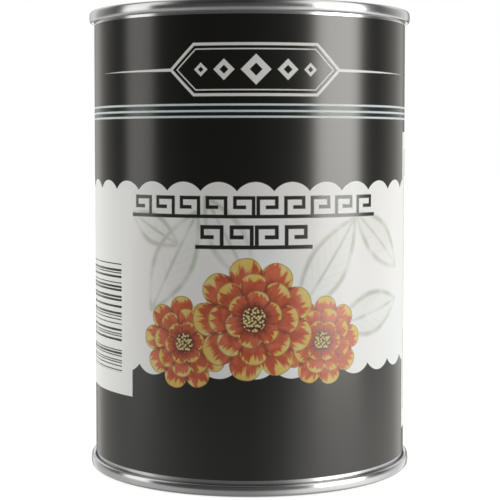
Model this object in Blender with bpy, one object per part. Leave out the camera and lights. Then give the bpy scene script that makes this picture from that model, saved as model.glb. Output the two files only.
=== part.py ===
"""A sealed three-piece food can, of tinplate, with a paper label and whole peeled water chestnuts inside.

Metres, +Z up. The origin is the centre of the circle that the can stands on.
Every round piece is turned about Z in the same number of facets, so the layers of a seam lie parallel.
"""

import math
import random

import bmesh
import bpy
from mathutils import Euler, Vector

MM = 0.001

# Driving dimensions, in millimetres
CAN_HEIGHT = 107.0
BODY_INNER_RADIUS = 36.5
SEAM_RADIUS = 38.1
SEAM_HEIGHT = 2.6
BODY_PLATE = 0.22
END_PLATE = 0.25
SEAM_GAP = 0.15

# The double seam, worked out from the body wall outwards. Radii are of each layer's middle.
BODY_WALL_R = BODY_INNER_RADIUS + BODY_PLATE / 2
COVER_HOOK_R = BODY_WALL_R + BODY_PLATE / 2 + SEAM_GAP + END_PLATE / 2
BODY_HOOK_R = COVER_HOOK_R + END_PLATE / 2 + SEAM_GAP + BODY_PLATE / 2
SEAM_WALL_R = BODY_HOOK_R + BODY_PLATE / 2 + SEAM_GAP + END_PLATE / 2
SEAM_BULGE_R = SEAM_RADIUS - END_PLATE / 2
CHUCK_WALL_R = BODY_INNER_RADIUS - SEAM_GAP - END_PLATE / 2

# Depths below the top of the seam, to the middle of the plate
SEAM_TOP = END_PLATE / 2
SEAM_FOOT = SEAM_HEIGHT - END_PLATE / 2
SEAM_MIDDLE = SEAM_HEIGHT * 0.53
SEAM_CORNER = 0.5
SEAM_BULGE_BEND = 2.4
SEAL_ROOM = 0.30
FLANGE_TOP = END_PLATE + SEAL_ROOM + BODY_PLATE / 2
BODY_HOOK_TIP = 1.95
COVER_HOOK_TIP = 1.1

# The end's panel inside the seam: the groove that the seaming chuck fits, and two raised rings
GROOVE_DEPTH = 4.3
CHUCK_WALL_LEAN = 0.12
GROOVE_OUTER_R = CHUCK_WALL_R - CHUCK_WALL_LEAN
GROOVE_WIDTH = 1.2
PANEL_DEPTH = 3.0
PANEL_STEP = 0.3
PANEL_SHOULDER_R = 34.8
PANEL_SHOULDER_BEND = 0.35
RING_RISE = 0.55
RING_RADII = (30.7, 23.7)
RING_TOP_HALF_WIDTH = 0.45
RING_SLOPE_WIDTH = 0.55

# The sealing compound, a rubbery ring under the top of each seam
SEAL_MIDDLE_R = 37.05
SEAL_WIDTH = 0.40
SEAL_THICKNESS = 0.20

# The label, a sheet wrapped round the body with a glued lap at the back. A strip of plate shows at both edges.
LABEL_PAPER = 0.12
LABEL_GAP = 0.05
LABEL_BOTTOM = 3.4
LABEL_TOP = 103.8
LABEL_INNER_R = BODY_INNER_RADIUS + BODY_PLATE + LABEL_GAP
LAP_STARTS_AT = math.radians(90)
LAP_FACETS = 2

# The food: rings of five corms, turned half a place from layer to layer, and a column up the middle
CORM_RADIUS = 13.0
CORM_HALF_HEIGHT = 9.0
CORM_FLAT = 0.80
CORMS_IN_RING = 5
RING_LAYERS = 5
RING_CLEARANCE = 0.35
LAYER_PITCH = 18.7
FOOD_BOTTOM = 4.4
SMALLEST_CORM = 0.94
DEEPEST_CUT = 0.95
MOST_TILT = math.radians(8)
CORM_SEED = 12

# How finely the round shapes are cut into facets, and how near two points may come
TURN_STEPS = 48
BEND_STEP = math.radians(46)
CORM_SIDES = 10
CORM_RINGS = 6
SHORTEST_CHORD = 0.12
TOUCHING_M = 1e-7
SMOOTH_BELOW = math.radians(30)


def clear_scene():
    for obj in list(bpy.data.objects):
        bpy.data.objects.remove(obj, do_unlink=True)


def principled(name, colour, roughness, metallic=0.0):
    made = bpy.data.materials.new(name)
    made.use_nodes = True
    shader = made.node_tree.nodes["Principled BSDF"]
    shader.inputs["Base Color"].default_value = (*colour, 1.0)
    shader.inputs["Roughness"].default_value = roughness
    shader.inputs["Metallic"].default_value = metallic
    return made


def add_object(name, bm, material):
    bmesh.ops.recalc_face_normals(bm, faces=bm.faces)
    mesh = bpy.data.meshes.new(name)
    bm.to_mesh(mesh)
    bm.free()
    mesh.materials.append(material)
    mesh.shade_smooth()
    mesh.set_sharp_from_angle(angle=SMOOTH_BELOW)
    obj = bpy.data.objects.new(name, mesh)
    bpy.context.scene.collection.objects.link(obj)
    return obj


def bent(corners):
    """The line through corners (x, y, bend radius), with each corner rounded by a few chords."""
    line = [Vector(corners[0][:2])]
    for before, here, after in zip(corners, corners[1:], corners[2:]):
        corner = Vector(here[:2])
        towards = (Vector(before[:2]) - corner).normalized()
        onwards = (Vector(after[:2]) - corner).normalized()
        turn = math.pi - towards.angle(onwards)
        reach = here[2] * math.tan(turn / 2)
        steps = max(1, round(turn / BEND_STEP)) if here[2] else 0
        if not steps:
            line.append(corner)
            continue
        centre = corner + (towards + onwards).normalized() * math.hypot(here[2], reach)
        first = corner + towards * reach - centre
        last = corner + onwards * reach - centre
        for step in range(steps + 1):
            line.append(centre + first.slerp(last, step / steps).normalized() * here[2])
    line.append(Vector(corners[-1][:2]))
    return [p for i, p in enumerate(line) if i == 0 or (p - line[i - 1]).length > SHORTEST_CHORD]


def plate_outline(line, thickness):
    """Both faces of a plate whose middle follows the line: along one side, and back along the other."""
    sides = ([], [])
    for i, point in enumerate(line):
        before = (point - line[i - 1]).normalized() if i else None
        after = (line[i + 1] - point).normalized() if i + 1 < len(line) else None
        before = before or after
        after = after or before
        along = (before + after).normalized()
        normal = Vector((-along.y, along.x))
        offset = normal * (thickness / 2 / along.dot(before))
        sides[0].append(point + offset)
        sides[1].append(point - offset)
    return sides[0] + sides[1][::-1]


def turned(name, outline, material, closed=True):
    """The outline of (radius, height) points turned about Z. An open one starts and ends on the axis."""
    bm = bmesh.new()
    points = [bm.verts.new((p.x * MM, 0, p.y * MM)) for p in outline]
    pairs = list(zip(points, points[1:]))
    if closed:
        pairs.append((points[-1], points[0]))
    edges = [bm.edges.new(pair) for pair in pairs]
    bmesh.ops.spin(
        bm,
        geom=points + edges,
        cent=(0, 0, 0),
        axis=(0, 0, 1),
        angle=2 * math.pi,
        steps=TURN_STEPS,
        use_merge=True,
    )
    bmesh.ops.remove_doubles(bm, verts=bm.verts, dist=TOUCHING_M)
    return add_object(name, bm, material)


def at_height(depth_line, top):
    """A line of (radius, depth), with its depth measured down from the can's top or up from its foot."""
    if top:
        return [Vector((p.x, CAN_HEIGHT - p.y)) for p in depth_line]
    return [Vector((p.x, p.y)) for p in depth_line]


def end_line():
    """The middle of the end's plate, from the tip of its hook round the seam and in to the axis."""
    hook_bend = (SEAM_WALL_R - COVER_HOOK_R) / 2
    corners = [
        (COVER_HOOK_R, COVER_HOOK_TIP, 0),
        (COVER_HOOK_R, SEAM_FOOT, hook_bend),
        (SEAM_WALL_R, SEAM_FOOT, hook_bend),
        (SEAM_BULGE_R, SEAM_MIDDLE, SEAM_BULGE_BEND),
        (SEAM_WALL_R, SEAM_TOP, SEAM_CORNER),
        (CHUCK_WALL_R, SEAM_TOP, SEAM_CORNER),
        (GROOVE_OUTER_R, GROOVE_DEPTH, GROOVE_WIDTH / 2),
        (GROOVE_OUTER_R - GROOVE_WIDTH, GROOVE_DEPTH, GROOVE_WIDTH / 2),
        (PANEL_SHOULDER_R, PANEL_DEPTH, PANEL_SHOULDER_BEND),
    ]
    depth = PANEL_DEPTH
    foot = RING_TOP_HALF_WIDTH + RING_SLOPE_WIDTH
    for radius in RING_RADII:
        corners += [
            (radius + foot, depth, 0),
            (radius + RING_TOP_HALF_WIDTH, depth - RING_RISE, 0),
            (radius - RING_TOP_HALF_WIDTH, depth - RING_RISE, 0),
            (radius - foot, depth + PANEL_STEP, 0),
        ]
        depth += PANEL_STEP
    corners.append((0, depth, 0))
    return bent(corners)


def body_line():
    """The middle of the body's plate, from hook to hook. The hooks turn out and back at both seams."""
    hook_bend = (BODY_HOOK_R - BODY_WALL_R) / 2
    return bent(
        [
            (BODY_HOOK_R, BODY_HOOK_TIP, 0),
            (BODY_HOOK_R, FLANGE_TOP, hook_bend),
            (BODY_WALL_R, FLANGE_TOP, hook_bend),
            (BODY_WALL_R, CAN_HEIGHT - FLANGE_TOP, hook_bend),
            (BODY_HOOK_R, CAN_HEIGHT - FLANGE_TOP, hook_bend),
            (BODY_HOOK_R, CAN_HEIGHT - BODY_HOOK_TIP, 0),
        ]
    )


def make_end(name, top, tinplate):
    """The end's outline runs from the axis, round the tip of the hook, and back to the axis."""
    outline = plate_outline(end_line(), END_PLATE)
    half = len(outline) // 2
    return turned(name, at_height(outline[half:] + outline[:half], top), tinplate, closed=False)


def make_seal(name, top, compound):
    depth = END_PLATE + SEAL_ROOM / 2
    middle = [Vector((SEAL_MIDDLE_R + side * SEAL_WIDTH / 2, depth)) for side in (-1, 1)]
    return turned(name, at_height(plate_outline(middle, SEAL_THICKNESS), top), compound)


def label_line():
    """The middle of the paper in plan. It goes once round, rises over its own start and laps it."""
    facet = 2 * math.pi / TURN_STEPS
    inner = LABEL_INNER_R + LABEL_PAPER / 2
    outer = inner + LABEL_PAPER + LABEL_GAP
    line = []
    for step in range(TURN_STEPS + LAP_FACETS + 1):
        radius = inner if step < TURN_STEPS else outer
        angle = LAP_STARTS_AT + step * facet
        line.append(Vector((radius * math.cos(angle), radius * math.sin(angle))))
    return line


def make_label(name, paper):
    """The sheet in plan, raised to the label's height."""
    bm = bmesh.new()
    outline = plate_outline(label_line(), LABEL_PAPER)
    lower = [bm.verts.new((p.x * MM, p.y * MM, LABEL_BOTTOM * MM)) for p in outline]
    upper = [bm.verts.new((p.x * MM, p.y * MM, LABEL_TOP * MM)) for p in outline]
    count = len(outline)
    for i in range(count):
        following = (i + 1) % count
        bm.faces.new((lower[i], lower[following], upper[following], upper[i]))
    for i in range(count // 2 - 1):
        opposite = count - 1 - i
        for ring in (lower, upper):
            bm.faces.new((ring[i], ring[i + 1], ring[opposite - 1], ring[opposite]))
    return add_object(name, bm, paper)


def corm_places():
    """The middle of each corm, in millimetres, layer by layer from the bottom."""
    ring_radius = BODY_INNER_RADIUS - CORM_RADIUS - RING_CLEARANCE
    share = 2 * math.pi / CORMS_IN_RING
    places = []
    for layer in range(RING_LAYERS):
        height = FOOD_BOTTOM + CORM_HALF_HEIGHT + layer * LAYER_PITCH
        for place in range(CORMS_IN_RING):
            angle = (place + 0.5 * (layer % 2)) * share
            places.append((ring_radius * math.cos(angle), ring_radius * math.sin(angle), height))
        if layer < RING_LAYERS - 1:
            places.append((0, 0, height + LAYER_PITCH / 2))
    return places


def make_corm(name, place, draw, flesh):
    """A peeled corm: a flattened ball, cut flat above and below, with the long facets of the knife."""
    bm = bmesh.new()
    bmesh.ops.create_uvsphere(bm, u_segments=CORM_SIDES, v_segments=CORM_RINGS, radius=1)
    scale = draw.uniform(SMALLEST_CORM, 1.0) * MM
    cuts = [draw.uniform(DEEPEST_CUT, 1.0) for _ in range(CORM_SIDES)]
    for vert in bm.verts:
        side = round(math.atan2(vert.co.y, vert.co.x) / (2 * math.pi) * CORM_SIDES) % CORM_SIDES
        vert.co.x *= CORM_RADIUS * scale * cuts[side]
        vert.co.y *= CORM_RADIUS * scale * cuts[side]
        vert.co.z = max(-CORM_FLAT, min(CORM_FLAT, vert.co.z)) / CORM_FLAT * CORM_HALF_HEIGHT * scale
    obj = add_object(name, bm, flesh)
    obj.location = [across * MM for across in place]
    tilt = (draw.uniform(-MOST_TILT, MOST_TILT), draw.uniform(-MOST_TILT, MOST_TILT))
    obj.rotation_euler = Euler((*tilt, draw.uniform(0, 2 * math.pi)))
    return obj


def main():
    clear_scene()
    tinplate = principled("tinplate", (0.72, 0.72, 0.71), 0.22, metallic=1.0)
    paper = principled("label_paper", (0.025, 0.025, 0.022), 0.35)
    compound = principled("sealing_compound", (0.55, 0.53, 0.48), 0.7)
    flesh = principled("corm_flesh", (0.88, 0.80, 0.62), 0.4)

    turned("can_body", plate_outline(body_line(), BODY_PLATE), tinplate)
    for top, side in ((True, "top"), (False, "bottom")):
        make_end(f"{side}_end", top, tinplate)
        make_seal(f"{side}_seal", top, compound)
    make_label("paper_label", paper)

    draw = random.Random(CORM_SEED)
    for number, place in enumerate(corm_places(), start=1):
        make_corm(f"water_chestnut_{number:02d}", place, draw, flesh)


main()
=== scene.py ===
"""The looks of a sealed food can: bright tinplate, a glossy printed label, and peeled corms inside.

Metres, +Z up, with the front of the label towards -Y. Lengths on the label are in millimetres: along the
arc from the middle of its front, positive to the right, and in height above the can's foot.
"""

import math
import random

import bmesh
import bpy
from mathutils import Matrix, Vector, noise


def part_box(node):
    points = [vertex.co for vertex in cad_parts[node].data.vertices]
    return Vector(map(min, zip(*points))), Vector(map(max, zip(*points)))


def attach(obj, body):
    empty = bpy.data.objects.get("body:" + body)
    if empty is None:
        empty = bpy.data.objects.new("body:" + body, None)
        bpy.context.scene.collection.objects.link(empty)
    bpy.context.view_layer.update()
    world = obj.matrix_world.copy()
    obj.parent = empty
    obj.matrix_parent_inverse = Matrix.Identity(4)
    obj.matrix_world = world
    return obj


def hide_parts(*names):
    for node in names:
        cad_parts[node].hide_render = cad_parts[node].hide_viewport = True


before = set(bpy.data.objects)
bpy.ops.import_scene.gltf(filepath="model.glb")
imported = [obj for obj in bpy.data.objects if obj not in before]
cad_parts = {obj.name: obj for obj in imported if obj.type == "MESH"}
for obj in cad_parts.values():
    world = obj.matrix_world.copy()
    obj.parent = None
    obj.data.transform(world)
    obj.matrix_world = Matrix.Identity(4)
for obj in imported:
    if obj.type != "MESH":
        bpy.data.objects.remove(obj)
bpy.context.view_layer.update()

MM = 0.001
BODY = "root"

# The can, read from the frame, in millimetres
CAN_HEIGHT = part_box("top_end")[1][2] / MM
SEAM_RADIUS = round(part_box("top_end")[1][0] / MM, 2)
LABEL_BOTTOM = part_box("paper_label")[0][2] / MM
LABEL_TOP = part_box("paper_label")[1][2] / MM

# The double seam and the end's panel, as in the solids
BODY_INNER_RADIUS = 36.5
SEAM_HEIGHT = 2.6
BODY_PLATE = 0.22
END_PLATE = 0.25
SEAM_GAP = 0.15
BODY_WALL_R = BODY_INNER_RADIUS + BODY_PLATE / 2
COVER_HOOK_R = BODY_WALL_R + BODY_PLATE / 2 + SEAM_GAP + END_PLATE / 2
BODY_HOOK_R = COVER_HOOK_R + END_PLATE / 2 + SEAM_GAP + BODY_PLATE / 2
SEAM_WALL_R = BODY_HOOK_R + BODY_PLATE / 2 + SEAM_GAP + END_PLATE / 2
SEAM_BULGE_R = SEAM_RADIUS - END_PLATE / 2
CHUCK_WALL_R = BODY_INNER_RADIUS - SEAM_GAP - END_PLATE / 2
SEAM_TOP = END_PLATE / 2
SEAM_FOOT = SEAM_HEIGHT - END_PLATE / 2
SEAM_BULGE_SHARE = 0.53
SEAM_MIDDLE = SEAM_HEIGHT * SEAM_BULGE_SHARE
SEAM_CORNER = 0.5
SEAM_BULGE_BEND = 2.4
SEAL_ROOM = 0.30
FLANGE_TOP = END_PLATE + SEAL_ROOM + BODY_PLATE / 2
BODY_HOOK_TIP = 1.95
COVER_HOOK_TIP = 1.1
GROOVE_DEPTH = 4.3
CHUCK_WALL_LEAN = 0.12
GROOVE_OUTER_R = CHUCK_WALL_R - CHUCK_WALL_LEAN
GROOVE_WIDTH = 1.2
PANEL_DEPTH = 3.0
PANEL_STEP = 0.3
PANEL_SHOULDER_R = 34.8
PANEL_SHOULDER_BEND = 0.35
RING_RISE = 0.55
RING_RADII = (30.7, 23.7)
RING_TOP_HALF_WIDTH = 0.45
RING_SLOPE_WIDTH = 0.55
RING_BEND = 0.5

# The label's sheet
LABEL_PAPER = 0.12
LABEL_GAP = 0.05
LABEL_INNER_R = BODY_INNER_RADIUS + BODY_PLATE + LABEL_GAP
LABEL_OUTER_R = LABEL_INNER_R + LABEL_PAPER
LAP_STARTS_AT = math.radians(90)
LAP_ANGLE = math.radians(15)
LAP_RISE_ANGLE = math.radians(2.5)
LABEL_ROWS = 20

# How finely the round shapes are cut
TURN_STEPS = 384
BEND_STEP = math.radians(16)
SHORTEST_CHORD = 0.02
SHARP_ABOVE = math.radians(40)

# The peeled corms, in metres
PEELING_SEED = 5
SAME_POINT = 1e-6
CORM_SMOOTHING = 3
CORM_WAVE = 0.009
CORM_WAVE_DEPTH = 0.0003
CORM_DENT_SIZE = 0.0028
CORM_DENT_LEVEL = 0.2
CORM_DENT_DEPTH = 0.0007

# The print, in millimetres on the label
PRINT_SOFTNESS = 0.09
BAND_LOBES = 29
BAND_PITCH = 2 * math.pi * LABEL_OUTER_R / BAND_LOBES
BAND_PHASE = math.radians(-4.2) * LABEL_OUTER_R
BAND_LOBE_DEPTH = 2.0
BAND_LOW_CUSPS = 27.5
BAND_HIGH_CUSPS = 65.95
STRIPE_HEIGHTS = (84.49, 83.13, 81.9)
STRIPE_THICKNESS = 0.44
RULE_HEIGHT = 92.0
RULE_THICKNESS = 0.66
RULE_OUTER_ENDS = (-40.5, 46.0)
CARTOUCHE_MIDDLE = (1.4, RULE_HEIGHT)
CARTOUCHE_HALF_SIZE = (19.0, 5.4)

# The pointed frame's lines: inset and thickness. Its lozenges: offset and half size.
CARTOUCHE_LINES = ((0.0, 0.62), (1.05, 0.26))
LOZENGES = ((0.0, 3.3), (-6.9, 2.3), (6.9, 2.3), (-12.0, 1.5), (12.0, 1.5))
LOZENGE_HOLE = 0.42

# The frets: middle, half length, foot and unit
FRETS = ((1.35, 30.0, 60.05, 1.0), (1.0, 12.96, 53.4, 1.08))
FRET_THINNING = 0.1

# One key of the fret, in units: the middle and the half size of each line
KEY_PITCH = 6.0
KEY_LINES = (
    ((3.0, 0.5), (3.5, 0.5)),
    ((0.5, 2.5), (0.5, 2.5)),
    ((2.5, 4.5), (2.5, 0.5)),
    ((4.5, 3.5), (0.5, 1.5)),
    ((3.5, 2.5), (1.5, 0.5)),
)

# Blossoms: middle, height, radius and turn. Rings of petals: size, number and turn.
BLOSSOMS = (
    (-14.6, 33.0, 10.2, 0.15),
    (16.4, 33.4, 9.8, 0.4),
    (0.9, 38.4, 13.4, 0.0),
    (-80.0, 35.0, 8.4, 0.3),
    (-93.0, 41.5, 11.4, 0.1),
)
PETAL_RINGS = ((1.0, 9.0, 0.0), (0.74, 8.0, 0.5), (0.47, 6.0, 0.2))
PETAL_CLEFT = 0.2
BLOSSOM_HEART = 0.2

# How the petals are brushed. Shares run from 0 at the heart to 1 at the petal's edge.
PETAL_ROUNDNESS = 2.6
PETAL_STROKES = 5.0
PETAL_BLOTS = 0.22
ORANGE_BLOTS = (0.35, 0.65)
CREAM_BLOTS = (0.4, 0.7)
ROOT_FADE = (0.55, 0.95)
ROOT_RAGGEDNESS = 0.35
ROOT_STRENGTH = 0.85
CLEFT_SHADE_FROM = 0.72
CLEFT_SHADE = 0.65
TIP_FADE = (0.80, 0.90)
TIP_RAGGEDNESS = 0.75
TIP_HOLLOW = 0.12
PETAL_OUTLINE = 0.35
PETAL_OUTLINE_STRENGTH = 0.6
HEART_SEEDS = 1.6
HEART_SEED_EDGE = (0.28, 0.5)

# Leaves: middle, height, half length, half width, and turn in degrees
LEAVES = (
    (-17.2, 50.6, 12.4, 4.6, 62.0),
    (-4.6, 55.4, 10.6, 3.7, 118.0),
    (17.8, 49.6, 12.6, 4.6, 55.0),
    (30.4, 38.5, 11.2, 4.4, 12.0),
    (33.5, 54.6, 10.4, 3.9, 142.0),
    (-22.2, 57.6, 7.0, 2.9, 152.0),
    (-72.0, 47.0, 10.5, 4.2, 40.0),
    (-101.5, 50.0, 11.5, 4.4, 125.0),
    (-105.5, 36.0, 9.5, 3.7, 165.0),
    (106.0, 49.0, 12.0, 4.5, 70.0),
)
LEAF_FULLNESS = 1.8
LEAF_EDGE = (-0.3, 0.1)
LEAF_TIP_FADE = 0.6
LEAF_LINE = 1.05
LEAF_LINE_STRENGTH = 0.8
LEAF_MIDRIB = LEAF_LINE * 0.7
LEAF_MIDRIB_STRENGTH = 0.75
LEAF_VEIN_PITCH = 2.6
LEAF_VEIN_SLANT = 1.3
LEAF_VEIN_SHARE = 0.16
LEAF_VEIN_STRENGTH = 0.3
LEAF_FILL_STRENGTH = 0.12
BRUSH_HAIRS = 150.0
DRY_BRUSH = (0.30, 0.62)
DRIEST = 0.25

# The side panels: left, right, foot and top
BAR_PANEL = (-64.0, -29.0, 19.8, 66.0)
BARS = (-56.5, -32.9, 24.7, 49.5)
BAR_MODULE = 0.25
BAR_SPACE_EVERY = 3
BAR_SPACING_SHARE = 0.33
TABLE_PANEL = (48.2, 97.0, 9.4, 78.9)
TABLE_SIDES = (51.6, 93.6, 13.6, 74.6)
TABLE_HEAD = 6.1
TABLE_ROWS = 16
TABLE_COLUMNS = (0.52, 0.77)
TABLE_RULE_THICKNESS = 0.22
TABLE_FRAME_THICKNESS = 0.5

# Colours, as linear light
INK_BLACK = (0.0026, 0.0025, 0.0022)
INK_TEAL = (0.0004, 0.0085, 0.0098)
INK_PALE_BLUE = (0.66, 0.73, 0.77)
INK_SILVER = (0.82, 0.82, 0.82)
PAPER_WHITE = (0.865, 0.875, 0.895)
CLOUD_BLUE = (0.75, 0.83, 0.87)
CLOUD_BLUSH = (0.86, 0.825, 0.83)
LEAF_GREEN = (0.47, 0.52, 0.45)
FRET_BLACK = (0.012, 0.012, 0.010)
PETAL_RED = (0.500, 0.088, 0.040)
PETAL_ORANGE = (0.660, 0.165, 0.085)
PETAL_YELLOW = (0.730, 0.520, 0.140)
PETAL_CREAM = (0.700, 0.640, 0.300)
PETAL_MAROON = (0.120, 0.026, 0.022)
FLESH_IVORY = (0.84, 0.77, 0.60)
FLESH_CREAM = (0.90, 0.85, 0.71)
FLESH_TAN = (0.60, 0.45, 0.26)

# Clouds in the white of the paper
PAPER_CLOUDS = 26.0
BLUE_CLOUDS = (0.42, 0.72)
BLUSH_CLOUDS = (0.56, 0.30)
CLOUD_STRENGTH = 0.5

# Finishes. A roughness runs between two values, and the noises' scales are per metre.
USUAL_NOISE = (0.3, 0.7)
FINE_RELIEF = 0.00001
COARSE_RELIEF = 0.0001
PLATE_DULL = (0.560, 0.570, 0.597)
PLATE_BRIGHT = (0.640, 0.650, 0.678)
PLATE_ROUGHNESS = (0.13, 0.20)
PLATE_CLOUDS = 120.0
PAPER_ROUGHNESS = (0.50, 0.62)
PAPER_FIBRES = 2200.0
PAPER_BUMP = 0.1
VARNISH_ROUGHNESS = 0.22
VARNISH_IOR = 1.7
COMPOUND_DARK = (0.45, 0.42, 0.36)
COMPOUND_PALE = (0.60, 0.57, 0.50)
COMPOUND_ROUGHNESS = (0.64, 0.76)
COMPOUND_MOTTLE = 900.0
COMPOUND_BUMP = 0.3
FLESH_ROUGHNESS = (0.28, 0.42)
FLESH_BLOOM = 110.0
CREAM_BLOOM = (0.35, 0.65)
TAN_BLOOM = (0.62, 0.78)
TAN_BLOOM_STRENGTH = 0.6
FLESH_FIBRES = 1400.0
FIBRE_RELIEF = 0.3
FLESH_BUMP = 0.4
FLESH_SPECKS = 420.0
SPECK_EDGE = (0.12, 0.22)
SPECK_STRENGTH = 0.35

# The gloss of the print: full where there is dark ink, slight on the bare white
DARK_TO_PALE = (0.1, 0.7)
GLOSS_ON_INK = 1.0
GLOSS_ON_WHITE = 0.3

# The camera stands in front and a little above the middle of the can, in millimetres and degrees
CAMERA_DISTANCE = 334.1
CAMERA_HEIGHT = 76.1
CAMERA_PITCH = 2.72
CAMERA_LENS = 100.2
CAMERA_SENSOR = 36.0
CAMERA_SHIFT = (0.0008, -0.08)
CAMERA_NEAREST = 0.01

# The studio's light by compass direction, in degrees from the camera's side, positive to the right.
# Each row takes over from the one before it between two heights, in degrees above the horizon.
ROOM_LIGHT = (
    (None, (
        (-180, 0.7), (-130, 0.5), (-110, 0.3), (-60, 0.28), (0, 0.27), (30, 0.32), (45, 0.42), (100, 0.5),
        (130, 0.6), (180, 0.7),
    )),
    ((-40, -25), (
        (-180, 0.9), (-174, 0.9), (-166, 0.2), (-160, 0.4), (-154, 1.15), (-146, 0.8), (-136, 0.6),
        (-125, 0.55), (-90, 0.65), (-60, 0.52), (-30, 0.35), (0, 0.315), (12, 0.405), (25, 0.6), (35, 0.97),
        (45, 1.1), (70, 1.26), (90, 1.26), (112, 1.03), (128, 0.88), (136, 0.88), (145, 1.1), (152, 1.05),
        (160, 0.2), (166, 0.2), (174, 0.9), (180, 0.9),
    )),
    ((-11.5, -9), (
        (-180, 0.9), (-166, 0.2), (-160, 0.4), (-154, 1.15), (-146, 0.8), (-136, 0.6), (-108, 0.56),
        (-100, 0.68), (-78, 0.72), (-70, 0.62), (-62, 0.45), (-54, 0.25), (-44, 0.15), (-20, 0.12),
        (0, 0.135), (18, 0.19), (26, 0.33), (31, 0.5), (36, 0.85), (44, 1.15), (80, 1.35), (88, 1.25),
        (96, 0.95), (110, 0.8), (128, 0.85), (145, 1.1), (152, 1.05), (160, 0.2), (166, 0.2), (174, 0.9),
        (180, 0.9),
    )),
    ((-8.5, -3.5), (
        (-180, 1.3), (-174, 1.3), (-166, 0.25), (-160, 0.72), (-145, 0.93), (-135, 0.49), (-122, 0.27),
        (-110, 0.115), (-101.5, 0.12), (-96.5, 1.52), (-76, 1.51), (-71, 0.105), (-40, 0.075), (0, 0.09),
        (25, 0.135), (38, 0.2), (45.5, 0.56), (51.5, 6.15), (82, 6.15), (89, 0.25), (105, 0.12),
        (122, 0.42), (140, 0.83), (152, 0.92), (160, 0.26), (168, 0.25), (174, 1.3), (180, 1.3),
    )),
    ((10, 21), (
        (-180, 0.95), (-142, 0.92), (-130, 0.72), (-120, 0.46), (-115, 0.15), (-110, 0.07), (-105, 0.15),
        (-101, 0.9), (-90, 1.35), (-76, 1.3), (-70, 1.18), (-65, 0.87), (-60, 0.44), (-55, 0.2),
        (-51, 0.10), (-45, 0.05), (0, 0.03), (22, 0.12), (26.5, 0.25), (31, 0.46), (35, 0.77), (39.5, 1.07),
        (46, 1.4), (80, 1.48), (86, 1.25), (91, 0.9), (95, 0.2), (106, 0.14), (113, 0.25), (119, 0.65),
        (127, 0.98), (180, 0.95),
    )),
    ((24, 34), (
        (-180, 0.9), (-150, 0.9), (-138, 0.4), (-130, 0.3), (-108, 0.3), (-98, 0.6), (-90, 0.95),
        (-77, 0.85), (-69, 0.45), (-63, 0.25), (-55, 0.1), (0, 0.07), (24, 0.1), (36, 0.2), (43, 0.35),
        (50, 0.9), (57, 1.25), (84, 1.3), (90, 0.7), (98, 0.35), (106, 0.15), (118, 0.15), (127, 0.35),
        (136, 0.45), (150, 0.9), (180, 0.9),
    )),
    ((46, 54), (
        (-180, 0.9), (-150, 0.9), (-135, 0.45), (-118, 0.5), (-108, 0.25), (-98, 0.3), (-92, 0.5),
        (-82, 0.3), (-70, 0.12), (-56, 0.1), (0, 0.07), (30, 0.1), (48, 0.3), (56, 0.6), (62, 1.3),
        (112, 1.3), (119, 0.5), (126, 0.25), (140, 0.4), (150, 0.9), (180, 0.9),
    )),
    ((66, 74), ((-180, 0.22), (180, 0.22))),
)
BRIGHTEST = 10.0
ROOM_TINT = (1.0, 0.985, 0.93)

# A soft lamp on the left, which the gloss doesn't show
LAMP_COMPASS = -95.0
LAMP_RISE = 12.0
LAMP_DISTANCE = 0.8
LAMP_SIZE = 0.4
LAMP_POWER = 3.4

# The floor, in metres
FLOOR_RADIUS = 3.0
FLOOR_SIDES = 96
FLOOR_DROP = 0.0001
FLOOR_GREY = (0.85, 0.85, 0.85)
FLOOR_GLOW = 0.67

# The places of a colour Mix node's sockets, and what the node groups put out
MIX_UNDER = 6
MIX_OVER = 7
MIX_RESULT = 2
MASK = {"Mask": "NodeSocketFloat"}
COLOUR_AND_MASK = {"Colour": "NodeSocketColor", "Mask": "NodeSocketFloat"}


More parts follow.
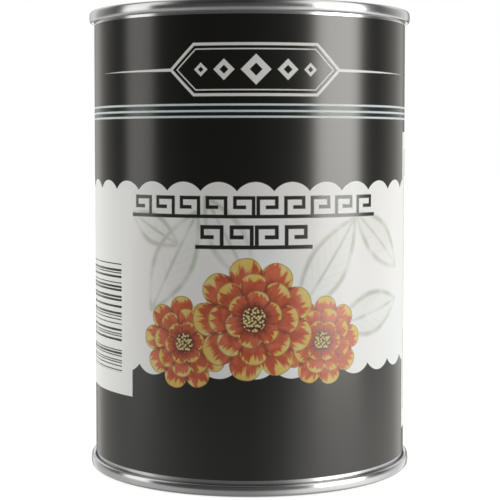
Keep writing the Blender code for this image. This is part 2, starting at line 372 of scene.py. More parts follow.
class Bench:
    """Adds nodes to one tree. Every input takes a number, a colour or another node's socket."""

    def __init__(self, tree):
        self.tree = tree

    def feed(self, socket, value):
        if isinstance(value, bpy.types.NodeSocket):
            self.tree.links.new(value, socket)
        elif isinstance(value, tuple) and len(value) == 3 and socket.type == "RGBA":
            socket.default_value = (*value, 1.0)
        else:
            socket.default_value = value

    def dress(self, node, inputs):
        """Feeds several inputs of a node, by name."""
        for name, value in inputs.items():
            self.feed(node.inputs[name], value)

    def node(self, kind, inputs=None, **settings):
        made = self.tree.nodes.new(kind)
        for name, value in settings.items():
            setattr(made, name, value)
        self.dress(made, inputs or {})
        return made

    def group(self, tree, **inputs):
        made = self.node("ShaderNodeGroup", node_tree=tree)
        self.dress(made, {name.replace("_", " ").title(): value for name, value in inputs.items()})
        return made.outputs

    def math(self, operation, *values):
        made = self.node("ShaderNodeMath", operation=operation)
        for socket, value in zip(made.inputs, values):
            self.feed(socket, value)
        return made.outputs[0]

    def plus(self, first, second):
        return self.math("ADD", first, second)

    def minus(self, first, second):
        return self.math("SUBTRACT", first, second)

    def times(self, first, second):
        return self.math("MULTIPLY", first, second)

    def ratio(self, first, second):
        return self.math("DIVIDE", first, second)

    def power(self, base, exponent):
        return self.math("POWER", base, exponent)

    def fraction(self, value):
        return self.math("FRACT", value)

    def size(self, value):
        return self.math("ABSOLUTE", value)

    def apart(self, first, second):
        """How far two values are apart, either way."""
        return self.size(self.minus(first, second))

    def reach(self, across, up):
        """The straight distance from the middle."""
        return self.math("SQRT", self.plus(self.power(across, 2.0), self.power(up, 2.0)))

    def fold(self, operation, values):
        result = values[0]
        for value in values[1:]:
            result = self.math(operation, result, value)
        return result

    def smallest(self, *values):
        return self.fold("MINIMUM", values)

    def greatest(self, *values):
        return self.fold("MAXIMUM", values)

    def fade(self, value, low, high, to_low=0.0, to_high=1.0, kind="SMOOTHSTEP"):
        """Runs from to_low to to_high while the value goes from low to high."""
        made = self.node("ShaderNodeMapRange", interpolation_type=kind)
        names = ("Value", "From Min", "From Max", "To Min", "To Max")
        self.dress(made, dict(zip(names, (value, low, high, to_low, to_high))))
        return made.outputs["Result"]

    def spread(self, grain, low, high):
        """A noise's usual values, stretched evenly from low to high."""
        return self.fade(grain, *USUAL_NOISE, low, high, "LINEAR")

    def inside(self, distance):
        """1 where a signed distance in millimetres is below nought, with a printed edge's softness."""
        return self.fade(distance, -PRINT_SOFTNESS, PRINT_SOFTNESS, 1.0, 0.0)

    def box_distance(self, across, up, middle, half_size):
        """How far a point is outside a box, in the larger of its two directions."""
        places = zip((across, up), middle, half_size)
        return self.greatest(*[self.minus(self.apart(place, centre), half) for place, centre, half in places])

    def mix(self, mask, under, over):
        """One colour laid over another where the mask says so."""
        made = self.node("ShaderNodeMix", {"Factor": mask}, data_type="RGBA")
        self.feed(made.inputs[MIX_UNDER], under)
        self.feed(made.inputs[MIX_OVER], over)
        return made.outputs[MIX_RESULT]

    def point(self, x, y, z):
        return self.node("ShaderNodeCombineXYZ", {"X": x, "Y": y, "Z": z}).outputs[0]

    def object_place(self):
        return self.node("ShaderNodeTexCoord").outputs["Object"]

    def noise(self, place, scale, detail=3.0, roughness=0.5, distortion=0.0):
        inputs = {"Scale": scale, "Detail": detail, "Roughness": roughness, "Distortion": distortion}
        return self.node("ShaderNodeTexNoise", {"Vector": place, **inputs}).outputs["Fac"]

    def bump(self, strength, distance, height):
        inputs = {"Strength": strength, "Distance": distance, "Height": height}
        return self.node("ShaderNodeBump", inputs).outputs["Normal"]


def new_group(name, inputs, outputs):
    """An empty node group: its bench, its inputs by name, and a function that joins its outputs."""
    tree = bpy.data.node_groups.new(name, "ShaderNodeTree")
    for label, value in inputs.items():
        tree.interface.new_socket(label, in_out="INPUT", socket_type="NodeSocketFloat").default_value = value
    for label, kind in outputs.items():
        tree.interface.new_socket(label, in_out="OUTPUT", socket_type=kind)
    bench = Bench(tree)
    entry = bench.node("NodeGroupInput")
    leave = bench.node("NodeGroupOutput")

    def put_out(**values):
        bench.dress(leave, {label.title(): value for label, value in values.items()})
        return tree

    return bench, entry.outputs, put_out


def label_place_group():
    """Where a point is on the label: along the arc from the middle of the front, and above the foot."""
    bench, _, put_out = new_group("label_place", {}, {"Arc": "NodeSocketFloat", "Height": "NodeSocketFloat"})
    x, y, z = bench.node("ShaderNodeSeparateXYZ", {"Vector": bench.object_place()}).outputs
    angle = bench.math("ARCTAN2", x, bench.times(y, -1.0))
    return put_out(arc=bench.times(angle, LABEL_OUTER_R), height=bench.times(z, 1 / MM))


def scalloped_band_group():
    """A band round the label whose two edges are rows of round lobes."""
    inputs = {"Arc": 0.0, "Height": 0.0, "Low Cusps": 0.0, "High Cusps": 1.0, "Pitch": 8.0}
    bench, given, put_out = new_group("scalloped_band", {**inputs, "Depth": 2.0, "Phase": 0.0}, MASK)
    pitch, depth = given["Pitch"], given["Depth"]
    turns = bench.ratio(bench.minus(given["Arc"], given["Phase"]), pitch)
    off_crest = bench.times(bench.minus(bench.fraction(turns), 0.5), pitch)
    squares = bench.plus(bench.power(bench.times(pitch, 0.5), 2.0), bench.power(depth, 2.0))
    radius = bench.ratio(squares, bench.times(depth, 2.0))
    drop = bench.minus(bench.power(radius, 2.0), bench.power(off_crest, 2.0))
    lobe = bench.minus(bench.math("SQRT", drop), bench.minus(radius, depth))
    above = bench.minus(given["Height"], bench.plus(given["High Cusps"], lobe))
    below = bench.minus(bench.minus(given["Low Cusps"], lobe), given["Height"])
    return put_out(mask=bench.inside(bench.greatest(above, below)))


def stripe_group():
    """A stripe round the whole label."""
    bench, given, put_out = new_group("stripe", {"Height": 0.0, "Middle": 0.0, "Thickness": 1.0}, MASK)
    off = bench.apart(given["Height"], given["Middle"])
    return put_out(mask=bench.inside(bench.minus(off, bench.times(given["Thickness"], 0.5))))


def panel_group():
    """A plain upright rectangle."""
    inputs = {"Arc": 0.0, "Height": 0.0, "Left": 0.0, "Right": 1.0, "Foot": 0.0, "Top": 1.0}
    bench, given, put_out = new_group("panel", inputs, MASK)
    beyond = bench.greatest(
        bench.minus(given["Left"], given["Arc"]),
        bench.minus(given["Arc"], given["Right"]),
        bench.minus(given["Foot"], given["Height"]),
        bench.minus(given["Height"], given["Top"]),
    )
    return put_out(mask=bench.inside(beyond))


def key_fret_group():
    """A running key pattern, mirrored about its middle. Its lines are one unit thick and five units tall."""
    inputs = {"Arc": 0.0, "Height": 0.0, "Middle": 0.0, "Half Length": 1.0, "Foot": 0.0, "Unit": 1.0}
    bench, given, put_out = new_group("key_fret", {**inputs, "Thinning": 0.0}, MASK)
    out = bench.apart(given["Arc"], given["Middle"])
    keys = bench.ratio(bench.ratio(out, given["Unit"]), KEY_PITCH)
    across = bench.times(bench.fraction(keys), KEY_PITCH)
    up = bench.ratio(bench.minus(given["Height"], given["Foot"]), given["Unit"])
    nearest = bench.smallest(*[bench.box_distance(across, up, middle, half) for middle, half in KEY_LINES])
    nearest = bench.times(bench.plus(nearest, given["Thinning"]), given["Unit"])
    past_end = bench.minus(out, given["Half Length"])
    return put_out(mask=bench.inside(bench.greatest(nearest, past_end)))


def petal_ring_group():
    """One ring of petals, brushed from maroon at their roots through orange red to ragged yellow tips."""
    inputs = {"Across": 0.0, "Up": 0.0, "Radius": 1.0, "Petals": 8.0, "Turn": 0.0, "Cleft": 0.2}
    bench, given, put_out = new_group("petal_ring", inputs, COLOUR_AND_MASK)
    across, up, radius = given["Across"], given["Up"], given["Radius"]
    angle = bench.math("ARCTAN2", up, across)
    turns = bench.plus(bench.times(angle, bench.ratio(given["Petals"], 2 * math.pi)), given["Turn"])
    aside = bench.times(bench.apart(bench.fraction(turns), 0.5), 2.0)
    notch = bench.times(bench.power(aside, PETAL_ROUNDNESS), given["Cleft"])
    edge = bench.times(radius, bench.minus(1.0, notch))
    reach = bench.reach(across, up)
    share = bench.ratio(reach, edge)

    strokes = bench.noise(bench.point(bench.times(turns, PETAL_STROKES), share, radius), 1.0, roughness=0.7)
    blots = bench.noise(bench.point(across, up, radius), PETAL_BLOTS, roughness=0.6, distortion=0.6)
    body = bench.mix(bench.fade(blots, *ORANGE_BLOTS), PETAL_RED, PETAL_ORANGE)
    roots = bench.plus(share, bench.times(strokes, ROOT_RAGGEDNESS))
    body = bench.mix(bench.fade(roots, *ROOT_FADE, ROOT_STRENGTH, 0.0), body, PETAL_MAROON)
    body = bench.mix(bench.fade(aside, CLEFT_SHADE_FROM, 1.0, 0.0, CLEFT_SHADE), body, PETAL_MAROON)
    flame = bench.plus(share, bench.times(bench.minus(strokes, 0.5), TIP_RAGGEDNESS))
    flame = bench.minus(flame, bench.times(aside, TIP_HOLLOW))
    tips = bench.mix(bench.fade(blots, *CREAM_BLOTS), PETAL_YELLOW, PETAL_CREAM)
    body = bench.mix(bench.fade(flame, *TIP_FADE), body, tips)
    outline = bench.fade(bench.minus(edge, reach), 0.0, PETAL_OUTLINE, PETAL_OUTLINE_STRENGTH, 0.0)
    body = bench.mix(outline, body, PETAL_MAROON)
    return put_out(colour=body, mask=bench.inside(bench.minus(reach, edge)))


def blossom_group(petal_ring):
    """A full blossom seen from the front: rings of petals one over the other, round a seeded heart."""
    inputs = {"Arc": 0.0, "Height": 0.0, "Middle": 0.0, "Centre Height": 0.0, "Radius": 1.0, "Turn": 0.0}
    bench, given, put_out = new_group("blossom", inputs, COLOUR_AND_MASK)
    across = bench.minus(given["Arc"], given["Middle"])
    up = bench.minus(given["Height"], given["Centre Height"])
    rings = []
    for size, petals, turn in PETAL_RINGS:
        ring = bench.group(
            petal_ring,
            across=across,
            up=up,
            radius=bench.times(given["Radius"], size),
            petals=petals,
            turn=bench.plus(given["Turn"], turn),
            cleft=PETAL_CLEFT,
        )
        rings.append((ring["Colour"], ring["Mask"]))
    colour, mask = rings[0]
    for ring_colour, ring_mask in rings[1:]:
        colour = bench.mix(ring_mask, colour, ring_colour)
    beyond = bench.minus(bench.reach(across, up), bench.times(given["Radius"], BLOSSOM_HEART))
    spots = {"Vector": bench.point(across, up, given["Turn"]), "Scale": HEART_SEEDS}
    seeds = bench.node("ShaderNodeTexVoronoi", spots, voronoi_dimensions="2D").outputs["Distance"]
    heart = bench.mix(bench.fade(seeds, *HEART_SEED_EDGE), PETAL_CREAM, PETAL_MAROON)
    return put_out(colour=bench.mix(bench.inside(beyond), colour, heart), mask=mask)


def leaf_group():
    """A pointed leaf, brushed as a soft outline with a midrib, side veins and a breath of colour inside."""
    inputs = {"Arc": 0.0, "Height": 0.0, "Middle": 0.0, "Centre Height": 0.0, "Half Length": 1.0}
    bench, given, put_out = new_group("leaf", {**inputs, "Half Width": 0.4, "Turn": 0.0}, MASK)
    across = bench.minus(given["Arc"], given["Middle"])
    up = bench.minus(given["Height"], given["Centre Height"])
    cosine, sine = bench.math("COSINE", given["Turn"]), bench.math("SINE", given["Turn"])
    along = bench.plus(bench.times(across, cosine), bench.times(up, sine))
    aside = bench.apart(bench.times(up, cosine), bench.times(across, sine))
    share = bench.size(bench.ratio(along, given["Half Length"]))
    edge = bench.times(given["Half Width"], bench.minus(1.0, bench.power(share, LEAF_FULLNESS)))
    beyond = bench.minus(aside, edge)
    past_tip = bench.minus(bench.size(along), given["Half Length"])
    within = bench.fade(bench.greatest(beyond, past_tip), *LEAF_EDGE, 1.0, 0.0)
    outline = bench.fade(bench.size(beyond), 0.0, LEAF_LINE, LEAF_LINE_STRENGTH, 0.0)
    outline = bench.times(outline, bench.fade(past_tip, 0.0, LEAF_TIP_FADE, 1.0, 0.0))
    midrib = bench.fade(aside, 0.0, LEAF_MIDRIB, LEAF_MIDRIB_STRENGTH, 0.0)
    steps = bench.ratio(bench.minus(along, bench.times(aside, LEAF_VEIN_SLANT)), LEAF_VEIN_PITCH)
    off_vein = bench.apart(bench.fraction(steps), 0.5)
    veins = bench.fade(off_vein, 0.0, LEAF_VEIN_SHARE, LEAF_VEIN_STRENGTH, 0.0)
    inner = bench.times(bench.greatest(midrib, veins, LEAF_FILL_STRENGTH), within)
    return put_out(mask=bench.greatest(outline, inner))


def sheet_grain_group():
    """The fine straight grain of rolled plate, and soft clouds in its brightness."""
    inputs = {"Across": 9000.0, "Along": 60.0, "Strength": 0.1}
    outputs = {"Grain": "NodeSocketFloat", "Clouds": "NodeSocketFloat", "Normal": "NodeSocketVector"}
    bench, given, put_out = new_group("sheet_grain", inputs, outputs)
    place = bench.object_place()
    drawn = bench.node("ShaderNodeVectorMath", operation="MULTIPLY")
    bench.feed(drawn.inputs[0], place)
    bench.feed(drawn.inputs[1], bench.point(given["Along"], given["Across"], given["Across"]))
    grain = bench.noise(drawn.outputs[0], 1.0, roughness=0.6)
    clouds = bench.noise(place, PLATE_CLOUDS)
    return put_out(grain=grain, clouds=clouds, normal=bench.bump(given["Strength"], FINE_RELIEF, grain))


def new_material(name):
    made = bpy.data.materials.new(name)
    made.use_nodes = True
    return made, Bench(made.node_tree), made.node_tree.nodes["Principled BSDF"]


def tinplate_material(grain_group):
    """Bright tinned steel with the grain of the rolled sheet."""
    made, bench, shader = new_material("bright_tinplate")
    sheet = bench.group(grain_group, across=7000.0, along=40.0, strength=0.12)
    bench.dress(shader, {
        "Base Color": bench.mix(sheet["Clouds"], PLATE_DULL, PLATE_BRIGHT),
        "Roughness": bench.spread(sheet["Grain"], *PLATE_ROUGHNESS),
        "Normal": sheet["Normal"],
        "Metallic": 1.0,
    })
    return made


def print_layers(bench, arc, height, groups):
    """The label's inks, laid one over the other, as one colour."""
    teal_foot = STRIPE_HEIGHTS[-1] + STRIPE_THICKNESS / 2
    teal_top = STRIPE_HEIGHTS[0] - STRIPE_THICKNESS / 2
    stripes = [((teal_foot + teal_top) / 2, teal_top - teal_foot, INK_TEAL)]
    stripes += [(middle, STRIPE_THICKNESS, INK_PALE_BLUE) for middle in STRIPE_HEIGHTS]
    colour = INK_BLACK
    for middle, thickness, ink in stripes:
        stripe = bench.group(groups["stripe"], height=height, middle=middle, thickness=thickness)
        colour = bench.mix(stripe["Mask"], colour, ink)
    colour = bench.mix(silver_lines(bench, arc, height), colour, INK_SILVER)

    band = bench.group(
        groups["scalloped_band"],
        arc=arc,
        height=height,
        low_cusps=BAND_LOW_CUSPS,
        high_cusps=BAND_HIGH_CUSPS,
        pitch=BAND_PITCH,
        depth=BAND_LOBE_DEPTH,
        phase=BAND_PHASE,
    )
    colour = bench.mix(band["Mask"], colour, leafy_white(bench, arc, height, groups))
    for middle, half_length, foot, unit in FRETS:
        fret = bench.group(
            groups["key_fret"],
            arc=arc,
            height=height,
            middle=middle,
            half_length=half_length,
            foot=foot,
            unit=unit,
            thinning=FRET_THINNING,
        )
        colour = bench.mix(fret["Mask"], colour, FRET_BLACK)
    for middle, centre_height, radius, turn in BLOSSOMS:
        blossom = bench.group(
            groups["blossom"],
            arc=arc,
            height=height,
            middle=middle,
            centre_height=centre_height,
            radius=radius,
            turn=turn,
        )
        colour = bench.mix(blossom["Mask"], colour, blossom["Colour"])
    return side_panels(bench, arc, height, groups["panel"], colour)


def silver_lines(bench, arc, height):
    """A pointed frame round a row of lozenges, and two rules that taper away from its points."""
    middle, middle_height = CARTOUCHE_MIDDLE
    half_width, half_height = CARTOUCHE_HALF_SIZE
    across = bench.minus(arc, middle)
    up = bench.apart(height, middle_height)
    slanted = bench.times(bench.minus(bench.plus(bench.size(across), up), half_width), math.sqrt(0.5))
    frame_edge = bench.greatest(slanted, bench.minus(up, half_height))
    masks = []
    for inset, thickness in CARTOUCHE_LINES:
        off_line = bench.size(bench.plus(frame_edge, inset))
        masks.append(bench.inside(bench.minus(off_line, thickness / 2)))
    for outer in RULE_OUTER_ENDS:
        inner = middle + math.copysign(half_width, outer)
        half_thickness = bench.fade(arc, outer, inner, 0.0, RULE_THICKNESS / 2, "LINEAR")
        past_end = bench.minus(bench.apart(arc, (inner + outer) / 2), abs(outer - inner) / 2)
        masks.append(bench.inside(bench.greatest(bench.minus(up, half_thickness), past_end)))
    for offset, half in LOZENGES:
        off_middle = bench.plus(bench.apart(across, offset), up)
        beyond = bench.minus(off_middle, half)
        within_hole = bench.minus(half * LOZENGE_HOLE, off_middle)
        masks.append(bench.inside(bench.greatest(beyond, within_hole)))
    return bench.greatest(*masks)


def leafy_white(bench, arc, height, groups):
    """White paper with faint clouds of pale blue and blush, and brushed outlines of leaves in grey green."""
    place = bench.object_place()
    clouds = bench.noise(place, PAPER_CLOUDS, distortion=0.4)
    colour = bench.mix(bench.fade(clouds, *BLUE_CLOUDS, 0.0, CLOUD_STRENGTH), PAPER_WHITE, CLOUD_BLUE)
    colour = bench.mix(bench.fade(clouds, *BLUSH_CLOUDS, 0.0, CLOUD_STRENGTH), colour, CLOUD_BLUSH)
    leaves = []
    for middle, centre_height, half_length, half_width, turn in LEAVES:
        leaf = bench.group(
            groups["leaf"],
            arc=arc,
            height=height,
            middle=middle,
            centre_height=centre_height,
            half_length=half_length,
            half_width=half_width,
            turn=math.radians(turn),
        )
        leaves.append(leaf["Mask"])
    brushed = bench.fade(bench.noise(place, BRUSH_HAIRS), *DRY_BRUSH, DRIEST, 1.0)
    return bench.mix(bench.times(bench.greatest(*leaves), brushed), colour, LEAF_GREEN)


def side_panels(bench, arc, height, panel_tree, colour):
    """White panels at the sides of the label: bars on the left one, and a ruled table on the right one."""

    def panel(sides):
        named = dict(zip(("left", "right", "foot", "top"), sides))
        return bench.group(panel_tree, arc=arc, height=height, **named)["Mask"]

    for sides in (BAR_PANEL, TABLE_PANEL):
        colour = bench.mix(panel(sides), colour, PAPER_WHITE)
    module = bench.math("FLOOR", bench.ratio(height, BAR_MODULE))
    chance = bench.node("ShaderNodeTexWhiteNoise", {"W": module}, noise_dimensions="1D").outputs["Value"]
    spaced = bench.math("GREATER_THAN", bench.math("MODULO", module, BAR_SPACE_EVERY), 0.5)
    inked = bench.times(bench.math("GREATER_THAN", chance, BAR_SPACING_SHARE), spaced)
    colour = bench.mix(bench.times(panel(BARS), inked), colour, FRET_BLACK)
    return bench.mix(ruled_table(bench, arc, height), colour, FRET_BLACK)


def ruled_table(bench, arc, height):
    """A framed table with a solid head, rows and columns."""
    left, right, foot, top = TABLE_SIDES
    middle = ((left + right) / 2, (foot + top) / 2)
    table = bench.box_distance(arc, height, middle, ((right - left) / 2, (top - foot) / 2))
    frame_line = bench.minus(bench.size(table), TABLE_FRAME_THICKNESS / 2)
    head_foot = top - TABLE_HEAD
    head = bench.greatest(table, bench.minus(head_foot, height))
    row_height = (head_foot - foot) / TABLE_ROWS
    rows = bench.fraction(bench.ratio(bench.minus(height, foot - row_height / 2), row_height))
    off_lines = [bench.times(bench.apart(rows, 0.5), row_height)]
    for share in TABLE_COLUMNS:
        off_lines.append(bench.apart(arc, left + share * (right - left)))
    lines = bench.minus(bench.smallest(*off_lines), TABLE_RULE_THICKNESS / 2)
    return bench.inside(bench.smallest(frame_line, head, bench.greatest(lines, table)))


def label_material(groups):
    """Printed paper under a clear varnish, which is glossy on the inks and nearly dull on the bare white."""
    made, bench, shader = new_material("printed_label")
    place = bench.group(groups["label_place"])
    colour = print_layers(bench, place["Arc"], place["Height"], groups)
    fibres = bench.noise(bench.object_place(), PAPER_FIBRES)
    paleness = bench.node("ShaderNodeRGBToBW", {"Color": colour}).outputs[0]
    bench.dress(shader, {
        "Base Color": colour,
        "Roughness": bench.spread(fibres, *PAPER_ROUGHNESS),
        "Normal": bench.bump(PAPER_BUMP, FINE_RELIEF, fibres),
        "Specular IOR Level": 0.0,
        "Coat Weight": bench.fade(paleness, *DARK_TO_PALE, GLOSS_ON_INK, GLOSS_ON_WHITE, "LINEAR"),
        "Coat Roughness": VARNISH_ROUGHNESS,
        "Coat IOR": VARNISH_IOR,
    })
    return made


def sealing_compound_material():
    """Softly mottled, dull rubber."""
    made, bench, shader = new_material("sealing_compound")
    mottle = bench.noise(bench.object_place(), COMPOUND_MOTTLE)
    bench.dress(shader, {
        "Base Color": bench.mix(bench.fade(mottle, *USUAL_NOISE), COMPOUND_DARK, COMPOUND_PALE),
        "Roughness": bench.spread(mottle, *COMPOUND_ROUGHNESS),
        "Normal": bench.bump(COMPOUND_BUMP, COARSE_RELIEF, mottle),
    })
    return made


def flesh_material():
    """Crisp ivory flesh with faint fibres, a browner bloom in places and a wet sheen."""
    made, bench, shader = new_material("corm_flesh")
    place = bench.object_place()
    bloom = bench.noise(place, FLESH_BLOOM, detail=4.0, roughness=0.6)
    fibres = bench.noise(place, FLESH_FIBRES)
    specks = bench.node("ShaderNodeTexVoronoi", {"Vector": place, "Scale": FLESH_SPECKS}).outputs["Distance"]
    colour = bench.mix(bench.fade(bloom, *CREAM_BLOOM), FLESH_IVORY, FLESH_CREAM)
    colour = bench.mix(bench.fade(bloom, *TAN_BLOOM, 0.0, TAN_BLOOM_STRENGTH), colour, FLESH_TAN)
    colour = bench.mix(bench.fade(specks, *SPECK_EDGE, SPECK_STRENGTH, 0.0), colour, FLESH_TAN)
    bench.dress(shader, {
        "Base Color": colour,
        "Roughness": bench.spread(fibres, *FLESH_ROUGHNESS),
        "Normal": bench.bump(FLESH_BUMP, COARSE_RELIEF, bench.plus(bloom, bench.times(fibres, FIBRE_RELIEF))),
    })
    return made


def bent(corners):
    """The line through corners (x, y, bend radius), with each corner rounded."""
    line = [Vector(corners[0][:2])]
    for before, here, after in zip(corners, corners[1:], corners[2:]):
        corner = Vector(here[:2])
        towards = (Vector(before[:2]) - corner).normalized()
        onwards = (Vector(after[:2]) - corner).normalized()
        turn = math.pi - towards.angle(onwards)
        reach = here[2] * math.tan(turn / 2)
        steps = max(2, round(turn / BEND_STEP))
        centre = corner + (towards + onwards).normalized() * math.hypot(here[2], reach)
        first = corner + towards * reach - centre
        last = corner + onwards * reach - centre
        for step in range(steps + 1):
            line.append(centre + first.slerp(last, step / steps).normalized() * here[2])
    line.append(Vector(corners[-1][:2]))
    return [p for i, p in enumerate(line) if i == 0 or (p - line[i - 1]).length > SHORTEST_CHORD]


def plate_outline(line, thickness):
    """Both faces of a plate whose middle follows the line: along one side, and back along the other."""
    sides = ([], [])
    for i, point in enumerate(line):
        before = (point - line[i - 1]).normalized() if i else None
        after = (line[i + 1] - point).normalized() if i + 1 < len(line) else None
        before = before or after
        after = after or before
        along = (before + after).normalized()
        normal = Vector((-along.y, along.x))
        offset = normal * (thickness / 2 / along.dot(before))
        sides[0].append(point + offset)
        sides[1].append(point - offset)
    return sides[0] + sides[1][::-1]


def add_piece(name, bm, material, replaced):
    """A finished piece in place of a solid of the frame."""
    bmesh.ops.recalc_face_normals(bm, faces=bm.faces)
    mesh = bpy.data.meshes.new(name)
    bm.to_mesh(mesh)
    bm.free()
    mesh.materials.append(material)
    mesh.shade_smooth()
    mesh.set_sharp_from_angle(angle=SHARP_ABOVE)
    piece = bpy.data.objects.new(name, mesh)
    bpy.context.scene.collection.objects.link(piece)
    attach(piece, BODY)
    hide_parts(replaced)


def round_place(radius, angle, height):
    """A place in metres, from a radius and a height in millimetres and an angle about Z."""
    return radius * MM * math.cos(angle), radius * MM * math.sin(angle), height * MM


def turned(outline, closed=True):
    """The outline of (radius, height) points, in millimetres, turned about Z into a bmesh."""
    bm = bmesh.new()
    turns = [2 * math.pi * step / TURN_STEPS for step in range(TURN_STEPS)]
    columns = []
    for point in outline:
        if point.x < SHORTEST_CHORD:
            columns.append([bm.verts.new((0, 0, point.y * MM))] * TURN_STEPS)
        else:
            columns.append([bm.verts.new(round_place(point.x, angle, point.y)) for angle in turns])
    pairs = list(zip(columns, columns[1:]))
    if closed:
        pairs.append((columns[-1], columns[0]))
    for here, there in pairs:
        for step in range(TURN_STEPS):
            following = (step + 1) % TURN_STEPS
            corners = [here[step], here[following], there[following], there[step]]
            bm.faces.new(list(dict.fromkeys(corners)))
    return bm


def at_height(depth_line, top):
    """A line of (radius, depth), with its depth measured down from the can's top or up from its foot."""
    if top:
        return [Vector((p.x, CAN_HEIGHT - p.y)) for p in depth_line]
    return [Vector((p.x, p.y)) for p in depth_line]


def end_line():
    """The middle of the end's plate, from the tip of its hook round the seam and in to the axis."""
    hook_bend = (SEAM_WALL_R - COVER_HOOK_R) / 2
    corners = [
        (COVER_HOOK_R, COVER_HOOK_TIP, 0),
        (COVER_HOOK_R, SEAM_FOOT, hook_bend),
        (SEAM_WALL_R, SEAM_FOOT, hook_bend),
        (SEAM_BULGE_R, SEAM_MIDDLE, SEAM_BULGE_BEND),
        (SEAM_WALL_R, SEAM_TOP, SEAM_CORNER),
        (CHUCK_WALL_R, SEAM_TOP, SEAM_CORNER),
        (GROOVE_OUTER_R, GROOVE_DEPTH, GROOVE_WIDTH / 2),
        (GROOVE_OUTER_R - GROOVE_WIDTH, GROOVE_DEPTH, GROOVE_WIDTH / 2),
        (PANEL_SHOULDER_R, PANEL_DEPTH, PANEL_SHOULDER_BEND),
    ]
    depth = PANEL_DEPTH
    foot = RING_TOP_HALF_WIDTH + RING_SLOPE_WIDTH
    for radius in RING_RADII:
        corners += [
            (radius + foot, depth, RING_BEND),
            (radius + RING_TOP_HALF_WIDTH, depth - RING_RISE, RING_BEND),
            (radius - RING_TOP_HALF_WIDTH, depth - RING_RISE, RING_BEND),
            (radius - foot, depth + PANEL_STEP, RING_BEND),
        ]
        depth += PANEL_STEP
    corners.append((0, depth, 0))
    return bent(corners)


def body_line():
    """The middle of the body's plate, from hook to hook."""
    hook_bend = (BODY_HOOK_R - BODY_WALL_R) / 2
    return bent(
        [
            (BODY_HOOK_R, BODY_HOOK_TIP, 0),
            (BODY_HOOK_R, FLANGE_TOP, hook_bend),
            (BODY_WALL_R, FLANGE_TOP, hook_bend),
            (BODY_WALL_R, CAN_HEIGHT - FLANGE_TOP, hook_bend),
            (BODY_HOOK_R, CAN_HEIGHT - FLANGE_TOP, hook_bend),
            (BODY_HOOK_R, CAN_HEIGHT - BODY_HOOK_TIP, 0),
        ]
    )


def make_end(side, top, tinplate):
    """The end's outline runs from the axis, round the tip of the hook, and back to the axis."""
    outline = plate_outline(end_line(), END_PLATE)
    half = len(outline) // 2
    bm = turned(at_height(outline[half:] + outline[:half], top), closed=False)
    add_piece(f"{side}_end_tinplate", bm, tinplate, f"{side}_end")


def make_body(tinplate):
    bm = turned(plate_outline(body_line(), BODY_PLATE))
    add_piece("can_body_tinplate", bm, tinplate, "can_body")


def label_line():
    """The middle of the paper in plan. It goes once round, rises over its own start and laps it."""
    inner = LABEL_INNER_R + LABEL_PAPER / 2
    rise = LABEL_PAPER + LABEL_GAP
    whole = 2 * math.pi
    steps = TURN_STEPS + round(LAP_ANGLE / whole * TURN_STEPS)
    line = []
    for step in range(steps + 1):
        angle = whole * step / TURN_STEPS
        risen = min(1.0, max(0.0, (angle - whole + 2 * LAP_RISE_ANGLE) / LAP_RISE_ANGLE))
        radius = inner + rise * risen * risen * (3 - 2 * risen)
        way = LAP_STARTS_AT + angle
        line.append(Vector((radius * math.cos(way), radius * math.sin(way))))
    return line


def make_label(material):
    """The sheet in plan, raised to the label's height in rows."""
    bm = bmesh.new()
    outline = plate_outline(label_line(), LABEL_PAPER)
    rows = []
    for row in range(LABEL_ROWS + 1):
        height = (LABEL_BOTTOM + (LABEL_TOP - LABEL_BOTTOM) * row / LABEL_ROWS) * MM
        rows.append([bm.verts.new((p.x * MM, p.y * MM, height)) for p in outline])
    count = len(outline)
    for low, high in zip(rows, rows[1:]):
        for i in range(count):
            following = (i + 1) % count
            bm.faces.new((low[i], low[following], high[following], high[i]))
    for i in range(count // 2 - 1):
        opposite = count - 1 - i
        for ring in (rows[0], rows[-1]):
            bm.faces.new((ring[i], ring[i + 1], ring[opposite - 1], ring[opposite]))
    add_piece("wrapped_label", bm, material, "paper_label")


def make_peeled_corm(node, name, draw, material):
    """The solid's shape with its knife cuts rounded off, and the small dents of the peeling, all inwards."""
    bm = bmesh.new()
    bm.from_mesh(node.data)
    bmesh.ops.remove_doubles(bm, verts=bm.verts, dist=SAME_POINT)
    rough = bpy.data.meshes.new("rough_corm")
    bm.to_mesh(rough)
    bm.free()
    holder = bpy.data.objects.new("rough_corm", rough)
    bpy.context.scene.collection.objects.link(holder)
    smoothing = holder.modifiers.new("smoothing", "SUBSURF")
    smoothing.levels = CORM_SMOOTHING
    graph = bpy.context.evaluated_depsgraph_get()
    bm = bmesh.new()
    bm.from_mesh(holder.evaluated_get(graph).data)
    bpy.data.objects.remove(holder)
    bpy.data.meshes.remove(rough)
    middle = sum((vert.co for vert in bm.verts), Vector()) / len(bm.verts)
    shift = Vector([draw.uniform(-1, 1) for _ in range(3)])
    for vert in bm.verts:
        inwards = middle - vert.co
        swell = 0.5 + 0.5 * noise.noise(vert.co / CORM_WAVE + shift)
        dent = max(0.0, noise.noise(vert.co / CORM_DENT_SIZE - shift) - CORM_DENT_LEVEL)
        vert.co += inwards.normalized() * (swell * CORM_WAVE_DEPTH + dent * CORM_DENT_DEPTH)
    number = name.rsplit("_", 1)[1]
    add_piece(f"peeled_corm_{number}", bm, material, name)


def set_ramp(ramp, stops):
    """Gives a colour ramp its stops. Those that a new ramp has already are used first."""
    while len(ramp.elements) < len(stops):
        ramp.elements.new(1.0)
    for element, (place, colour) in zip(ramp.elements, stops):
        element.position = place
        element.color = (*colour, 1.0)


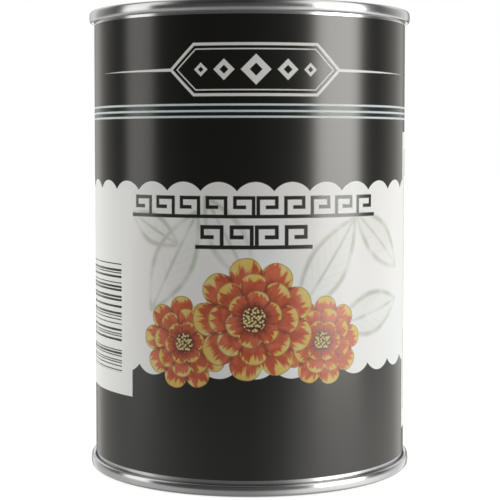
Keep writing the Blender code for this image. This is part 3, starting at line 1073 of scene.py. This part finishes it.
def studio_light():
    """A pale room with a broad soft light on the right and a narrower, weaker one on the left."""
    world = bpy.data.worlds.new("soft_studio")
    world.use_nodes = True
    world.node_tree.nodes.clear()
    bench = Bench(world.node_tree)
    way = bench.node("ShaderNodeTexCoord").outputs["Generated"]
    x, y, z = bench.node("ShaderNodeSeparateXYZ", {"Vector": way}).outputs
    compass = bench.math("ARCTAN2", x, bench.times(y, -1.0))
    share = bench.fade(compass, -math.pi, math.pi, kind="LINEAR")
    rise = bench.math("DEGREES", bench.math("ARCSINE", z))
    level = None
    for heights, row in ROOM_LIGHT:
        ramp = bench.node("ShaderNodeValToRGB", {"Fac": share})
        stops = []
        for degrees, light in row:
            stops.append((degrees / 360 + 0.5, tuple(light / BRIGHTEST * tint for tint in ROOM_TINT)))
        set_ramp(ramp.color_ramp, stops)
        if level is None:
            level = ramp.outputs["Color"]
        else:
            level = bench.mix(bench.fade(rise, *heights), level, ramp.outputs["Color"])
    room = bench.node("ShaderNodeBackground", {"Color": level, "Strength": BRIGHTEST})
    backdrop = bench.node("ShaderNodeBackground", {"Color": (1.0, 1.0, 1.0), "Strength": 1.0})
    seen = bench.node("ShaderNodeLightPath").outputs["Is Camera Ray"]
    either = bench.node("ShaderNodeMixShader")
    bench.feed(either.inputs[0], seen)
    bench.feed(either.inputs[1], room.outputs[0])
    bench.feed(either.inputs[2], backdrop.outputs[0])
    out = bench.node("ShaderNodeOutputWorld")
    bench.feed(out.inputs["Surface"], either.outputs[0])
    bpy.context.scene.world = world


def left_lamp():
    """A soft lamp that lifts the label's left side without adding a highlight."""
    lamp = bpy.data.lights.new("left_lamp", "AREA")
    lamp.shape = "DISK"
    lamp.size = LAMP_SIZE
    lamp.energy = LAMP_POWER
    lamp.color = ROOM_TINT
    holder = bpy.data.objects.new("left_lamp", lamp)
    compass, rise = math.radians(LAMP_COMPASS), math.radians(LAMP_RISE)
    way = Vector((math.sin(compass) * math.cos(rise), -math.cos(compass) * math.cos(rise), math.sin(rise)))
    middle = Vector((0, 0, CAN_HEIGHT * MM / 2))
    holder.location = middle + way * LAMP_DISTANCE
    holder.rotation_euler = way.to_track_quat("Z", "Y").to_euler()
    holder.visible_glossy = False
    holder.visible_camera = False
    bpy.context.scene.collection.objects.link(holder)


def pale_floor():
    """A wide pale floor that glows a little. Only the camera sees it, so the room alone lights the can."""
    bm = bmesh.new()
    bmesh.ops.create_circle(bm, cap_ends=True, segments=FLOOR_SIDES, radius=FLOOR_RADIUS)
    mesh = bpy.data.meshes.new("floor")
    bm.to_mesh(mesh)
    bm.free()
    floor = bpy.data.objects.new("floor", mesh)
    floor.location.z = -FLOOR_DROP
    floor.visible_glossy = False
    floor.visible_diffuse = False
    floor.visible_shadow = False
    made, bench, shader = new_material("pale_floor")
    bench.dress(shader, {
        "Base Color": FLOOR_GREY,
        "Roughness": 1.0,
        "Specular IOR Level": 0.0,
        "Emission Color": (1.0, 1.0, 1.0),
        "Emission Strength": FLOOR_GLOW,
    })
    mesh.materials.append(made)
    bpy.context.scene.collection.objects.link(floor)


def photo_camera():
    lens = bpy.data.cameras.new("camera")
    lens.lens = CAMERA_LENS
    lens.sensor_width = CAMERA_SENSOR
    lens.shift_x, lens.shift_y = CAMERA_SHIFT
    lens.clip_start = CAMERA_NEAREST
    camera = bpy.data.objects.new("camera", lens)
    camera.location = (0, -CAMERA_DISTANCE * MM, CAMERA_HEIGHT * MM)
    camera.rotation_euler = (math.radians(90 - CAMERA_PITCH), 0, 0)
    bpy.context.scene.collection.objects.link(camera)
    bpy.context.scene.camera = camera


photo_camera()
studio_light()
left_lamp()
pale_floor()
bpy.context.scene.view_settings.view_transform = "Standard"

groups = {
    "label_place": label_place_group(),
    "scalloped_band": scalloped_band_group(),
    "stripe": stripe_group(),
    "panel": panel_group(),
    "key_fret": key_fret_group(),
    "leaf": leaf_group(),
    "blossom": blossom_group(petal_ring_group()),
}
tinplate = tinplate_material(sheet_grain_group())
make_body(tinplate)
make_end("top", True, tinplate)
make_end("bottom", False, tinplate)
make_label(label_material(groups))

draw = random.Random(PEELING_SEED)
compound = sealing_compound_material()
flesh = flesh_material()
for name, node in list(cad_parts.items()):
    if name.endswith("_seal"):
        node.material_slots[0].material = compound
    if name.startswith("water_chestnut"):
        make_peeled_corm(node, name, draw, flesh)
